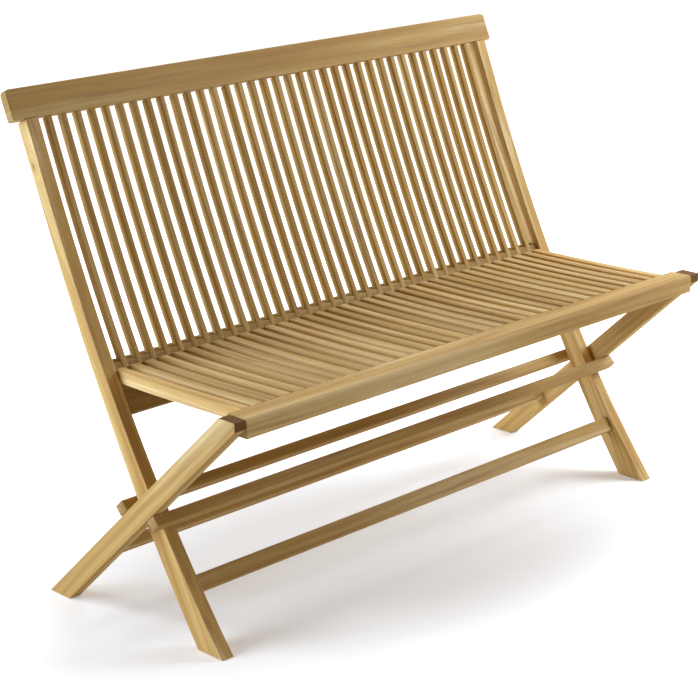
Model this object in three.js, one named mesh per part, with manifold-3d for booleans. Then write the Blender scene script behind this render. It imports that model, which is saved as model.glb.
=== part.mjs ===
// Folding slatted garden bench for two, made of solid teak.
// The stiles and the rear legs cross and turn on pins; the seat is hinged to the legs' top ends.
// X runs along the bench, Y from front to back, Z up. Millimetres.
import * as THREE from "three";
import { mergeVertices } from "three/addons/utils/BufferGeometryUtils.js";
import Module from "manifold-3d";

const wasm = await Module();
wasm.setup();

// Overall sizes
const legSpan = 1209.8; // over the outer faces of the rear legs
const topRailShort = 4.9; // each end of the top rail, inside the legs' outer faces
const seatHeight = 440; // front edge of the seat
const stileHeight = 836; // up to the top rail, measured at the stile's front
const legReach = 501.7; // from the seat's front edge to the back of the rear foot
const legTopLength = 38.7; // the level top of the rear leg, from the seat's front edge

// Clearances
const glueGap = 0.3; // round every glued or seated joint
const legToStile = 2.4; // sideways, taken up by a washer
const seatToStile = 1.7;
const barToStile = 0.8; // the stop bars against the stiles when the bench stands open
const seatToSlats = 2; // the seat's rear end against the back slats
const seatOnLedge = 0.4;
const pinClearance = 0.08; // all round, where a pin turns
const washerPlay = 0.3;

// Timber sections
const legThickness = 25;
const legWidth = 38;
const stileThickness = 25.8;
const stileFootDepth = 61.9; // fore and aft, on the floor
const stileTopDepth = 30.7;
const stileDepthDip = 22.7; // control value that thins the stile at the seat
const barWidth = 23;
const barDepth = 21;
const legStretcherWidth = 24;
const legStretcherDepth = 20;
const frontStretcherHeight = 29.5;
const frontStretcherDepth = 20;
const frontStretcherInset = 8;
const frontStretcherShare = 0.2187; // its height over the floor, as a share of the seat's
const legStretcherShare = 0.453; // its place along the leg from the pin to the floor
const legStretcherDrop = 4.3; // its lower edge under the leg's middle line

// The stiles' curve, front edge
const footSetback = 72.5; // from the seat's front edge back to the foot
const stileRun = 465.84; // how far the front edge travels backwards from foot to top
const stileRunShares = [0.4805, 0.7618];
const curveSteps = 14;
const halvings = 24; // in the search for where a leg meets a stile

// Back
const backSlatCount = 35;
const slatEndSpace = 26.2; // from the stile to the middle of the first slat
const backSlatWidth = 11;
const backSlatDepth = 14; // fore and aft
const backSlatSetback = 7.5; // behind the stiles' front, fore and aft
const topRailHeight = 54.8;
const topRailDepth = 19;
const topRailSetback = 4.3; // fore and aft, behind the stiles' front
const topRailLean = THREE.MathUtils.degToRad(23.3);
const topRailRound = 9; // of the upper corner at each end
const topRailArris = 3;
const arrisSteps = 3;
const slatTenon = 7;
const slatTenonDepth = 8;
const lowerRailDrop = 76; // of its lower edge under the seat height
const lowerRailInset = 1;
const lowerRailDepth = 25;
const notchSlack = 0.8; // behind a slat's foot, for the curve of the slats
const slatSteps = 8;

// Seat
const seatSlatCount = 34;
const seatSlatWidth = 19.6;
const seatSlatDepth = 22.4;
const seatFrontDrop = 1; // of the slats' front ends below the seat height
const seatFall = 7; // from the front rail to the rear end
const seatFlatShare = 0.93; // where along the slats the top has become level
const frontRailWidth = 47;
const frontRailHeight = 32.8;
const frontRailRound = 6;
const sideRailWidth = 18.5;
const seatTenon = 8;
const seatTenonDepth = 8;
const seatTenonDrop = 10;
const seatSteps = 6;
const battenWidth = 32;
const battenDepth = 9;
const battenFromRear = 9;

// Pins and washers
const pinRadius = 4;
const pinSides = 40;
const pinInWood = 16;
const washerRadius = 11;
const hingeFromFront = 23.5; // seat hinge, back from the seat's front edge
const hingeFromTop = 15;

const overrun = 1; // every cut runs this far past the face it leaves

const legHalf = legSpan / 2;
const legInner = legHalf - legThickness;
const stileOuter = legInner - legToStile;
const stileInner = stileOuter - stileThickness;
const seatHalf = stileInner - seatToStile;
const topRailLength = legSpan - 2 * topRailShort;
const slatPitch = (2 * (stileInner - slatEndSpace)) / (backSlatCount - 1);
const lowerRailBottom = seatHeight - lowerRailDrop;
const frontStretcherLift = seatHeight * frontStretcherShare;
const legAngle = Math.atan2(seatHeight, legReach - legTopLength);

// Where the pieces stand, seen from the side, as points (y, z) with y = 0 at the seat's front edge
const point = (y, z) => new THREE.Vector2(y, z);
const curveOver = (start, run, shares) =>
  new THREE.CubicBezierCurve(
    point(start, 0),
    point(start + run * shares[0], stileHeight / 3),
    point(start + run * shares[1], (stileHeight * 2) / 3),
    point(start + run, stileHeight),
  );
const stileFront = curveOver(footSetback, stileRun, stileRunShares);
const depthOver = new THREE.QuadraticBezierCurve(
  point(stileFootDepth, 0),
  point(stileDepthDip, stileHeight / 2),
  point(stileTopDepth, stileHeight),
);
const frontAt = (z) => stileFront.getPoint(z / stileHeight).x;
const rearAt = (z) => frontAt(z) + depthOver.getPoint(z / stileHeight).x;
const leanAt = (z) => {
  const tangent = stileFront.getTangent(z / stileHeight);
  return Math.atan2(tangent.x, tangent.y);
};

// A point d behind and h above an origin, on axes that lean backwards
const leaned = (origin, lean, d, h) =>
  point(
    origin.x + d * Math.cos(lean) + h * Math.sin(lean),
    origin.y - d * Math.sin(lean) + h * Math.cos(lean),
  );

// Along the rear leg: u down its upper edge from seat height, n square to it towards the front
const legTop = point(legTopLength, seatHeight);
const onLeg = (u, n) =>
  point(
    legTop.x + u * Math.cos(legAngle) - n * Math.sin(legAngle),
    legTop.y - u * Math.sin(legAngle) - n * Math.cos(legAngle),
  );
const legLength = seatHeight / Math.sin(legAngle);

// Where a line along the leg meets an edge of the stile
function crossing(n, edgeAt) {
  let near = 0;
  let far = legLength;
  for (let i = 0; i < halvings; i++) {
    const middle = (near + far) / 2;
    const p = onLeg(middle, n);
    if (p.x < edgeAt(p.y)) near = middle;
    else far = middle;
  }
  return (near + far) / 2;
}
const crossU = (crossing(legWidth / 2, frontAt) + crossing(legWidth / 2, rearAt)) / 2;
const crossPin = onLeg(crossU, legWidth / 2);
const seatPin = point(hingeFromFront, seatHeight - hingeFromTop);

const teak = (name, colour) =>
  new THREE.MeshStandardMaterial({ name, color: colour, roughness: 0.62, metalness: 0 });
const frameTeak = teak("frame_teak", 0xc8aa78);
const slatTeak = teak("slat_teak", 0xb4905a);
const seatTeak = teak("seat_teak", 0xc3a06e);
const steel = new THREE.MeshStandardMaterial({
  name: "pin_steel",
  color: 0xb8b8b4,
  roughness: 0.35,
  metalness: 1,
});

// An outline in (y, z), drawn out along X about its middle
function drawnOut(outline, width, curveSegments = 4) {
  const shape = outline instanceof THREE.Shape ? outline : new THREE.Shape(outline);
  const geometry = new THREE.ExtrudeGeometry(shape, {
    depth: width,
    bevelEnabled: false,
    curveSegments,
  });
  geometry.translate(0, 0, -width / 2);
  const turn = new THREE.Matrix4().makeBasis(
    new THREE.Vector3(0, 1, 0),
    new THREE.Vector3(0, 0, 1),
    new THREE.Vector3(1, 0, 0),
  );
  return geometry.applyMatrix4(turn);
}

// A rectangle d deep and h high whose corners are given by a placing function
function block(place, fromD, toD, fromH, toH) {
  return [place(fromD, fromH), place(toD, fromH), place(toD, toH), place(fromD, toH)];
}

// A round bar along X
function roundBar(radius, length, centre) {
  const geometry = new THREE.CylinderGeometry(radius, radius, length, pinSides);
  geometry.rotateZ(-Math.PI / 2);
  return geometry.translate(0, centre.x, centre.y);
}

function solidOf(geometry) {
  const bare = geometry.clone();
  bare.deleteAttribute("normal");
  bare.deleteAttribute("uv");
  const merged = mergeVertices(bare);
  return new wasm.Manifold(
    new wasm.Mesh({
      numProp: 3,
      vertProperties: merged.attributes.position.array,
      triVerts: new Uint32Array(merged.index.array),
    }),
  );
}

function geometryOf(solid) {
  const mesh = solid.getMesh();
  const geometry = new THREE.BufferGeometry();
  geometry.setAttribute("position", new THREE.BufferAttribute(mesh.vertProperties, 3));
  geometry.setIndex(new THREE.BufferAttribute(mesh.triVerts, 1));
  const flat = geometry.toNonIndexed();
  flat.computeVertexNormals();
  return flat;
}

const less = (geometry, ...cuts) =>
  geometryOf(cuts.reduce((left, cut) => left.subtract(solidOf(cut)), solidOf(geometry)));
const joined = (...parts) =>
  geometryOf(parts.map(solidOf).reduce((all, next) => all.add(next)));
const shifted = (geometry, x) => geometry.clone().translate(x, 0, 0);

const bench = new THREE.Group();
const backFrame = new THREE.Group();
const legFrame = new THREE.Group();
const seat = new THREE.Group();
bench.add(backFrame, legFrame, seat);

function add(parent, name, geometry, material, x = 0) {
  const mesh = new THREE.Mesh(geometry, material);
  mesh.name = name;
  mesh.position.x = x;
  parent.add(mesh);
}

const sides = [
  ["left", -1],
  ["right", 1],
];

// Top rail, leaned with the stiles' top ends
const topRailCorner = point(frontAt(stileHeight) + topRailSetback, stileHeight);
const atTopRail = (d, h) => leaned(topRailCorner, topRailLean, d, h);

// Lower back rail, leaned with the stiles, its top level at seat height
const lowerLean = leanAt((lowerRailBottom + seatHeight) / 2);
const lowerRailCorner = point(frontAt(lowerRailBottom), lowerRailBottom);
const atLowerRail = (d, h) => leaned(lowerRailCorner, lowerLean, d, h);
const lowerRailHigh = (d, z) => (z - lowerRailBottom + d * Math.sin(lowerLean)) / Math.cos(lowerLean);

// The seat's top line, falling gently to the rear
const frontRailRear = frontRailWidth;
const seatRearY = frontAt(seatHeight - seatFall - seatFrontDrop) + backSlatSetback - seatToSlats;
const seatRun = (seatRearY - frontRailRear) * seatFlatShare;
function seatTopAt(y) {
  const t = Math.min(1, (y - frontRailRear) / seatRun);
  return seatHeight - seatFrontDrop - seatFall * (2 * t - t * t);
}
const seatBottomRear = seatTopAt(seatRearY) - seatSlatDepth;
const ledgeHeight = lowerRailHigh(lowerRailInset, seatBottomRear - seatOnLedge);

// The top rail's groove runs from the first tongue to the last
const slatGroove = backSlatCount * slatPitch + glueGap;

// Seen from the front, with rounded upper corners, and drawn out through its depth
function makeTopRail() {
  const half = topRailLength / 2 - topRailArris;
  const low = topRailArris;
  const high = topRailHeight - topRailArris;
  const round = topRailRound - topRailArris;
  const shape = new THREE.Shape();
  shape.moveTo(-half, low);
  shape.lineTo(half, low);
  shape.lineTo(half, high - round);
  shape.quadraticCurveTo(half, high, half - round, high);
  shape.lineTo(round - half, high);
  shape.quadraticCurveTo(-half, high, -half, high - round);
  const geometry = new THREE.ExtrudeGeometry(shape, {
    depth: topRailDepth - 2 * topRailArris,
    bevelThickness: topRailArris,
    bevelSize: topRailArris,
    bevelSegments: arrisSteps,
    curveSegments: slatSteps,
  });
  geometry.translate(0, 0, topRailArris - topRailDepth);
  const lean = topRailLean;
  const turn = new THREE.Matrix4().makeBasis(
    new THREE.Vector3(1, 0, 0),
    new THREE.Vector3(0, Math.sin(lean), Math.cos(lean)),
    new THREE.Vector3(0, -Math.cos(lean), Math.sin(lean)),
  );
  turn.setPosition(0, topRailCorner.x, topRailCorner.y);
  const groove = block(
    atTopRail,
    tenonFrom - glueGap,
    tenonFrom + slatTenon + glueGap,
    -overrun,
    slatTenonDepth + glueGap,
  );
  const rail = less(geometry.applyMatrix4(turn), drawnOut(groove, slatGroove));
  add(backFrame, "top_rail", rail, frameTeak);
}

// The back slats' place in the top rail
const slatTopFrom = (backSlatSetback - topRailSetback) * Math.cos(topRailLean);
const slatTopTo = slatTopFrom + backSlatDepth * Math.cos(topRailLean);
const tenonFrom = (slatTopFrom + slatTopTo - slatTenon) / 2;

// The back slats' feet stand in notches cut into the lower rail's front, flush with it
const lowerRailLip = backSlatSetback * Math.cos(lowerLean);
const notchFloor = atLowerRail(lowerRailLip, ledgeHeight).y;
const slatFoot = notchFloor + glueGap;
const slatPlaces = (count) =>
  Array.from({ length: count }, (_, i) => (i - (count - 1) / 2) * slatPitch);

function makeLowerRail() {
  const rear = lowerRailInset + lowerRailDepth;
  const outline = [
    atLowerRail(lowerRailInset, 0),
    atLowerRail(rear, 0),
    atLowerRail(rear, lowerRailHigh(rear, seatHeight)),
    atLowerRail(lowerRailLip, lowerRailHigh(lowerRailLip, seatHeight)),
    atLowerRail(lowerRailLip, ledgeHeight),
    atLowerRail(lowerRailInset, ledgeHeight),
  ];
  const back = lowerRailLip + backSlatDepth * Math.cos(lowerLean) + notchSlack;
  const notchOutline = [
    atLowerRail(0, lowerRailHigh(0, notchFloor)),
    atLowerRail(back, lowerRailHigh(back, notchFloor)),
    atLowerRail(back, lowerRailHigh(back, seatHeight + overrun)),
    atLowerRail(0, lowerRailHigh(0, seatHeight + overrun)),
  ];
  const notch = drawnOut(notchOutline, backSlatWidth + 2 * glueGap);
  const notches = slatPlaces(backSlatCount).map((x) => shifted(notch, x));
  const rail = less(drawnOut(outline, 2 * (stileInner - glueGap)), ...notches);
  add(backFrame, "lower_back_rail", rail, frameTeak);
}

// Heights at which the slats' curve is followed, between the two rails
function slatHeights() {
  const high = atTopRail(slatTopFrom, -glueGap).y;
  const step = (high - slatFoot) / slatSteps;
  return Array.from({ length: slatSteps }, (_, i) => slatFoot + step * i);
}

function backSlat() {
  const heights = slatHeights();
  const slatFront = (z) => point(frontAt(z) + backSlatSetback, z);
  const slatRear = (z) => point(frontAt(z) + backSlatSetback + backSlatDepth, z);
  const outline = [
    ...heights.map(slatRear),
    atTopRail(slatTopTo, -glueGap),
    atTopRail(tenonFrom + slatTenon, -glueGap),
    atTopRail(tenonFrom + slatTenon, slatTenonDepth),
    atTopRail(tenonFrom, slatTenonDepth),
    atTopRail(tenonFrom, -glueGap),
    atTopRail(slatTopFrom, -glueGap),
    ...heights.reverse().map(slatFront),
  ];
  return drawnOut(outline, backSlatWidth);
}

// The tongue that fills the top rail's groove between the tenons
const backTongue = () => block(atTopRail, tenonFrom, tenonFrom + slatTenon, glueGap, slatTenonDepth);

// A comb of slats on its tongue, about its own middle
const comb = (slat, tongue, count) =>
  joined(
    ...slatPlaces(count).map((x) => shifted(slat, x)),
    drawnOut(tongue, count * slatPitch - glueGap),
  );

// Slats in pairs from both ends, with what is left over in the middle
function combPlaces(slatCount) {
  const half = (slatCount - 1) / 2;
  const middle = slatCount % 4 === 0 ? 0 : slatCount % 4;
  const pairsEachSide = (slatCount - middle) / 4;
  const left = Array.from({ length: pairsEachSide }, (_, i) => [-half + 2 * i + 1 / 2, 2]);
  const right = left.map(([place, size]) => [-place, size]).reverse();
  const centre = middle ? [[0, middle]] : [];
  return [...left, ...centre, ...right];
}

function addCombs(parent, name, slat, tongue, slatCount, material) {
  const shapes = new Map();
  combPlaces(slatCount).forEach(([place, size], i) => {
    if (!shapes.has(size)) shapes.set(size, comb(slat, tongue, size));
    const number = String(i + 1).padStart(2, "0");
    add(parent, `${name}_${number}`, shapes.get(size), material, place * slatPitch);
  });
}

function makeStiles() {
  const heights = Array.from({ length: curveSteps }, (_, i) => (stileHeight * i) / curveSteps);
  const topFront = -topRailSetback * Math.cos(topRailLean);
  const topRear = topFront + stileTopDepth * Math.cos(topRailLean);
  const outline = [
    ...heights.map((z) => point(rearAt(z), z)),
    atTopRail(topRear, -glueGap),
    atTopRail(topFront, -glueGap),
    ...heights.reverse().map((z) => point(frontAt(z), z)),
  ];
  for (const [side, sign] of sides) {
    const x = sign * (stileInner + stileThickness / 2);
    const hole = roundBar(pinRadius + pinClearance, 2 * pinInWood, crossPin);
    const bore = shifted(hole, (sign * stileThickness) / 2);
    add(backFrame, `stile_${side}`, less(drawnOut(outline, stileThickness), bore), frameTeak, x);
  }
}

function makeFrontStretcher() {
  const lean = leanAt(frontStretcherLift);
  const corner = point(frontAt(frontStretcherLift), frontStretcherLift);
  const place = (d, h) => leaned(corner, lean, d, h);
  const outline = block(
    place,
    frontStretcherInset,
    frontStretcherInset + frontStretcherDepth,
    0,
    frontStretcherHeight,
  );
  add(backFrame, "front_stretcher", drawnOut(outline, 2 * (stileInner - glueGap)), frameTeak);
}

function makeLegs() {
  const alongToFront = -onLeg(0, legWidth).x / Math.cos(legAngle);
  const frontCorner = onLeg(alongToFront, legWidth);
  const footFront = legReach - legWidth / Math.sin(legAngle);
  const outline = [
    frontCorner,
    point(footFront, 0),
    point(legReach, 0),
    legTop,
    point(0, seatHeight),
  ];
  for (const [side, sign] of sides) {
    const x = sign * (legInner + legThickness / 2);
    const inner = (-sign * legThickness) / 2;
    const radius = pinRadius + pinClearance;
    const cuts = [crossPin, seatPin].map((at) =>
      shifted(roundBar(radius, 2 * pinInWood, at), inner),
    );
    add(legFrame, `rear_leg_${side}`, less(drawnOut(outline, legThickness), ...cuts), frameTeak, x);
  }
}

function makeStopBars() {
  const under = legWidth + glueGap;
  const frontEnd = crossing(under, frontAt) - barToStile;
  const rearStart = crossing(0, rearAt) + barToStile;
  const front = block(onLeg, frontEnd - barWidth, frontEnd, under + barDepth, under);
  const rear = block(onLeg, rearStart, rearStart + barWidth, -glueGap, -glueGap - barDepth);
  add(legFrame, "stop_bar_front", drawnOut(front, legSpan), frameTeak);
  add(legFrame, "stop_bar_rear", drawnOut(rear, legSpan), frameTeak);
}

function makeLegStretcher() {
  const u = crossU + (legLength - crossU) * legStretcherShare;
  const low = legWidth / 2 + legStretcherDrop;
  const outline = block(onLeg, u, u + legStretcherWidth, low, low - legStretcherDepth);
  add(legFrame, "leg_stretcher", drawnOut(outline, 2 * (legInner - glueGap)), frameTeak);
}

function makeFrontRail() {
  const bottom = seatHeight - frontRailHeight;
  const round = frontRailRound;
  const shape = new THREE.Shape();
  shape.moveTo(0, bottom);
  shape.lineTo(frontRailWidth, bottom);
  shape.lineTo(frontRailWidth, seatHeight - seatFrontDrop);
  shape.lineTo(round, seatHeight);
  shape.quadraticCurveTo(0, seatHeight, 0, seatHeight - round);
  const length = 2 * (legInner - glueGap);
  const grooveTop = seatHeight - seatTenonDrop + glueGap;
  const grooveBottom = seatHeight - seatTenonDrop - seatTenon - glueGap;
  const groove = drawnOut(
    block(
      point,
      frontRailWidth - seatTenonDepth - glueGap,
      frontRailWidth + overrun,
      grooveBottom,
      grooveTop,
    ),
    2 * (seatHalf + glueGap),
  );
  const holes = sides.map(([, sign]) =>
    shifted(roundBar(pinRadius + pinClearance, 2 * pinInWood, seatPin), (sign * length) / 2),
  );
  add(seat, "seat_front_rail", less(drawnOut(shape, length), groove, ...holes), seatTeak);
}

// Side view of a seat slat or side rail: tenon in front, rear end cut along the back
function seatOutline() {
  const from = frontRailWidth + glueGap;
  const tenonHigh = seatHeight - seatTenonDrop;
  const places = Array.from({ length: seatSteps + 1 }, (_, i) => from + (seatRun * i) / seatSteps);
  const rearBottomY = frontAt(seatBottomRear) + backSlatSetback - seatToSlats;
  return [
    point(from - seatTenonDepth, tenonHigh - seatTenon),
    point(from, tenonHigh - seatTenon),
    ...places.slice(0, -1).map((y) => point(y, seatTopAt(y) - seatSlatDepth)),
    point(rearBottomY, seatBottomRear),
    point(seatRearY, seatTopAt(seatRearY)),
    ...places.reverse().map((y) => point(y, seatTopAt(y))),
    point(from, tenonHigh),
    point(from - seatTenonDepth, tenonHigh),
  ];
}

// The batten lies in a dado cut into the slats' underside
const battenRear = seatRearY - seatSlatDepth * Math.tan(lowerLean) - battenFromRear;
const battenBox = (margin) =>
  block(
    point,
    battenRear - battenWidth - margin,
    battenRear + margin,
    seatBottomRear - margin,
    seatBottomRear + battenDepth + margin,
  );

function makeSeatSlats() {
  const dado = battenBox(glueGap);
  dado[0].y -= overrun;
  dado[1].y -= overrun;
  const slat = less(drawnOut(seatOutline(), seatSlatWidth), drawnOut(dado, 2 * seatSlatWidth));
  const tenonHigh = seatHeight - seatTenonDrop;
  const from = frontRailWidth + glueGap - seatTenonDepth;
  const tongue = block(point, from, frontRailWidth - glueGap, tenonHigh - seatTenon, tenonHigh);
  addCombs(seat, "seat_slats", slat, tongue, seatSlatCount, seatTeak);
}

function makeSideRails() {
  for (const [side, sign] of sides) {
    const x = sign * (seatHalf - sideRailWidth / 2);
    add(seat, `seat_side_rail_${side}`, drawnOut(seatOutline(), sideRailWidth), seatTeak, x);
  }
}

function makeBatten() {
  const length = 2 * (seatHalf - sideRailWidth - glueGap);
  add(seat, "seat_rear_batten", drawnOut(battenBox(0), length), seatTeak);
}

// Blind pins: one pair where legs and stiles cross, one pair at the seat's front corners
function makePins() {
  const crossLength = 2 * (pinInWood - glueGap) + legToStile;
  const seatLength = 2 * (pinInWood - glueGap) + glueGap;
  const ring = new THREE.Shape().absarc(crossPin.x, crossPin.y, washerRadius, 0, 2 * Math.PI);
  const eye = pinRadius + pinClearance;
  ring.holes.push(new THREE.Path().absarc(crossPin.x, crossPin.y, eye, 0, 2 * Math.PI, true));
  const washer = drawnOut(ring, legToStile - 2 * washerPlay, pinSides);
  for (const [side, sign] of sides) {
    const between = sign * (stileOuter + legToStile / 2);
    add(backFrame, `cross_pin_${side}`, roundBar(pinRadius, crossLength, crossPin), steel, between);
    add(backFrame, `cross_washer_${side}`, washer, steel, between);
    const seatX = sign * (legInner - glueGap / 2);
    add(legFrame, `seat_pin_${side}`, roundBar(pinRadius, seatLength, seatPin), steel, seatX);
  }
}

makeTopRail();
makeLowerRail();
addCombs(backFrame, "back_slats", backSlat(), backTongue(), backSlatCount, slatTeak);
makeStiles();
makeFrontStretcher();
makeLegs();
makeStopBars();
makeLegStretcher();
makeFrontRail();
makeSideRails();
makeSeatSlats();
makeBatten();
makePins();

// The bench stands with the middle of its depth over the origin
const rearmost = new THREE.Box3().setFromObject(bench).max.y;
bench.position.y = -rearmost / 2;

export default bench;
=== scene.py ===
# %% [markdown]
# # A folding slatted teak bench
# The real bench is solid teak, sawn, eased along every edge and sanded, with no varnish. Two curved
# stiles carry the back; two straight legs cross them on pins; the seat is hinged to the legs' tops.
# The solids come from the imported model, which stays as it is. Every board is built again here over
# its solid, with rounded edges and with its own grain, and moves with the same body.

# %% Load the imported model
import math

import bmesh
import bpy
from mathutils import Matrix, Vector


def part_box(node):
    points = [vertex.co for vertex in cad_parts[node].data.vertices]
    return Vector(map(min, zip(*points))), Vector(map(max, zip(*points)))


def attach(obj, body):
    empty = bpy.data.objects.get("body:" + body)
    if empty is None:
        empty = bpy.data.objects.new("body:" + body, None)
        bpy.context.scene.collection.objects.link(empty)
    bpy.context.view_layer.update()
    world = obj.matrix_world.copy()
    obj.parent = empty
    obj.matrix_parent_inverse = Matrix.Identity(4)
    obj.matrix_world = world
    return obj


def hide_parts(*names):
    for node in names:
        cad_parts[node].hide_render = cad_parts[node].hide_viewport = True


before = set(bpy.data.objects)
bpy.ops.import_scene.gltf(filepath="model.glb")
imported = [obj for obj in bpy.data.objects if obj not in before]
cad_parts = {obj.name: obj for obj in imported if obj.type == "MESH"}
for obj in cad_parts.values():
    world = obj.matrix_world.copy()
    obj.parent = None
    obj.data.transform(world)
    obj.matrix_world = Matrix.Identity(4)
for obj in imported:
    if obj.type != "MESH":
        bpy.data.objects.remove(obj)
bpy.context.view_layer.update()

# %% [markdown]
# ## Sizes
# The boards follow the same few rules as the solids: a cubic curve for the stiles, a straight line for
# the legs, a lean for each rail. Lengths are in metres, and y counts from the seat's front edge.

# %% Sizes of the bench
MM = 0.001
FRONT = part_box("rear_leg_left")[0].y
LEG_HALF = 604.9 * MM
LEG_INNER = 579.9 * MM
STILE_OUTER = 577.5 * MM
STILE_INNER = 551.7 * MM
SEAT_HALF = 550 * MM
SEAT_HEIGHT = 440 * MM
STILE_HEIGHT = 836 * MM
LEG_REACH = 501.7 * MM
LEG_TOP = 38.7 * MM
LEG_WIDTH = 38 * MM
GLUE_GAP = 0.3 * MM
# Control values, from the floor up, of the stiles' front edge and of their depth behind it
STILE_FRONT = [72.5 * MM, 296.34 * MM, 427.38 * MM, 538.34 * MM]
STILE_DEPTH = [61.9 * MM, 22.7 * MM, 30.7 * MM]
SLAT_PITCH = 30.91 * MM
print("bench is", round(2 * LEG_HALF, 4), "m long")


# %% The stiles' curves
def power_form(values):
    """A curve's control values as the factors of 1, t, t^2 and so on."""
    n = len(values) - 1
    differences = list(values)
    factors = []
    for i in range(n + 1):
        factors.append(math.comb(n, i) * differences[0])
        differences = [b - a for a, b in zip(differences, differences[1:])]
    return factors


def follow(factors, t):
    return sum(factor * t**i for i, factor in enumerate(factors))


STILE_RULE = power_form(STILE_FRONT)
DEPTH_RULE = power_form(STILE_DEPTH)


def stile_front(z):
    return follow(STILE_RULE, z / STILE_HEIGHT)


def stile_rear(z):
    return stile_front(z) + follow(DEPTH_RULE, z / STILE_HEIGHT)


def stile_lean(z, step=MM):
    return math.atan2(stile_front(z + step) - stile_front(z - step), 2 * step)


print("stiles lean by", round(math.degrees(stile_lean(SEAT_HEIGHT)), 1), "degrees at the seat")

# %% Axes that lean with a board
LEG_ANGLE = math.atan2(SEAT_HEIGHT, LEG_REACH - LEG_TOP)
LEG_RUN = SEAT_HEIGHT / math.sin(LEG_ANGLE)


def leaned(origin, lean, d, h):
    """A point d behind and h above an origin, on axes that lean backwards."""
    return (
        origin[0] + d * math.cos(lean) + h * math.sin(lean),
        origin[1] - d * math.sin(lean) + h * math.cos(lean),
    )


def on_leg(u, n):
    """A point u down the leg's upper edge and n square to it, towards the front."""
    return (
        LEG_TOP + u * math.cos(LEG_ANGLE) - n * math.sin(LEG_ANGLE),
        SEAT_HEIGHT - u * math.sin(LEG_ANGLE) - n * math.cos(LEG_ANGLE),
    )


def leg_meets(n, edge, halvings=24):
    """How far down the leg its line n meets the stile's front or rear edge."""
    near, far = 0.0, LEG_RUN
    for _ in range(halvings):
        middle = (near + far) / 2
        y, z = on_leg(middle, n)
        near, far = (middle, far) if y < edge(z) else (near, middle)
    return near


def rectangle(place, from_d, to_d, from_h, to_h):
    return [place(from_d, from_h), place(to_d, from_h), place(to_d, to_h), place(from_d, to_h)]


print("legs stand at", round(math.degrees(LEG_ANGLE), 2), "degrees")

# %% [markdown]
# ## Nodes in words
# A material and a slat row are both trees of nodes. One small function adds a node, sets what it is
# told and links what it is given, so that each line below reads as one node of the real tree.


# %% Small functions for nodes, colours and new materials
def node(tree, kind, inputs=None, **settings):
    """Adds a node with its settings; an input is given a value or another node's output."""
    made = tree.nodes.new(kind)
    for position, value in settings.pop("stops", ()):
        made.color_ramp.elements.new(position).color = colour(value)
    for name, value in settings.items():
        setattr(made, name, value)
    for key, value in (inputs or {}).items():
        if isinstance(value, bpy.types.NodeSocket):
            tree.links.new(value, made.inputs[key])
        else:
            made.inputs[key].default_value = value
    return made


def colour(text):
    """An sRGB hex colour as the linear values that a shader takes."""
    parts = [int(text[i : i + 2], 16) / 255 for i in (1, 3, 5)]
    return [c / 12.92 if c <= 0.04045 else ((c + 0.055) / 1.055) ** 2.4 for c in parts] + [1.0]


def bare_material(name):
    """A new material and its tree, with no nodes in it yet."""
    material = bpy.data.materials.new(name)
    material.use_nodes = True
    material.node_tree.nodes.clear()
    return material, material.node_tree


print("teak in linear light:", [round(c, 3) for c in colour("#c89f68")])

# %% [markdown]
# ## Teak
# Teak is a ring-porous wood: each year begins with a thin row of open pores, so its boards show fine
# dark lines along their length, with broad honey and pinkish-brown bands between them. The boards are
# sawn and sanded, and bare, so they are nearly matt and slightly ribbed. The pattern is a solid one,
# counted in each board's own measures: along its length, across it and through it. Yearly rings are
# cylinders round a pith that lies outside the board, so the faces show long lines and the ends show
# arcs. End grain drinks more light and is darker. An image would show the same lines on every board.

# %% Sizes in the grain
BANDS = 48.0  # to the metre: broad soft bands, each about 21 mm wide
STREAKS = 130.0  # to the metre: pinkish streaks, each about 8 mm wide
RINGS = 280.0  # to the metre: yearly rings, 3.6 mm apart
FIBRES = 900.0  # to the metre: drawn about 1 mm wide, because the real 0.2 mm would not show
WAVES = 30.0  # to the metre: slow bends of the rings
DRAWN_OUT = (0.035, 1, 1)  # every pattern is nearly thirty times as long as wide
WAVE_HEIGHT = 10 * MM
BOARD_SHIFT = (9.1, 0.83, 0.47)
PITH_PLACE = (0, 45 * MM, 70 * MM)
PITH_SHIFT = (0, 50 * MM, 30 * MM)
RELIEF = 0.4 * MM
print("rings are", round(1 / RINGS / MM, 1), "mm apart")


# %% Where a point lies in its board
def grain_place(tree):
    """The point in its board's measures, the board's number, and the point as the patterns count it."""
    grain = node(tree, "ShaderNodeAttribute", attribute_name="grain").outputs["Vector"]
    board = node(tree, "ShaderNodeAttribute", attribute_name="board").outputs["Fac"]
    # Each board is cut from another place of the tree
    away = node(tree, "ShaderNodeVectorMath", {0: BOARD_SHIFT, "Scale": board}, operation="SCALE")
    place = node(tree, "ShaderNodeVectorMath", {0: grain, 1: away.outputs[0]}, operation="ADD").outputs[0]
    long = node(tree, "ShaderNodeMapping", {"Vector": place, "Scale": DRAWN_OUT}).outputs[0]
    return grain, board, long


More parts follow.
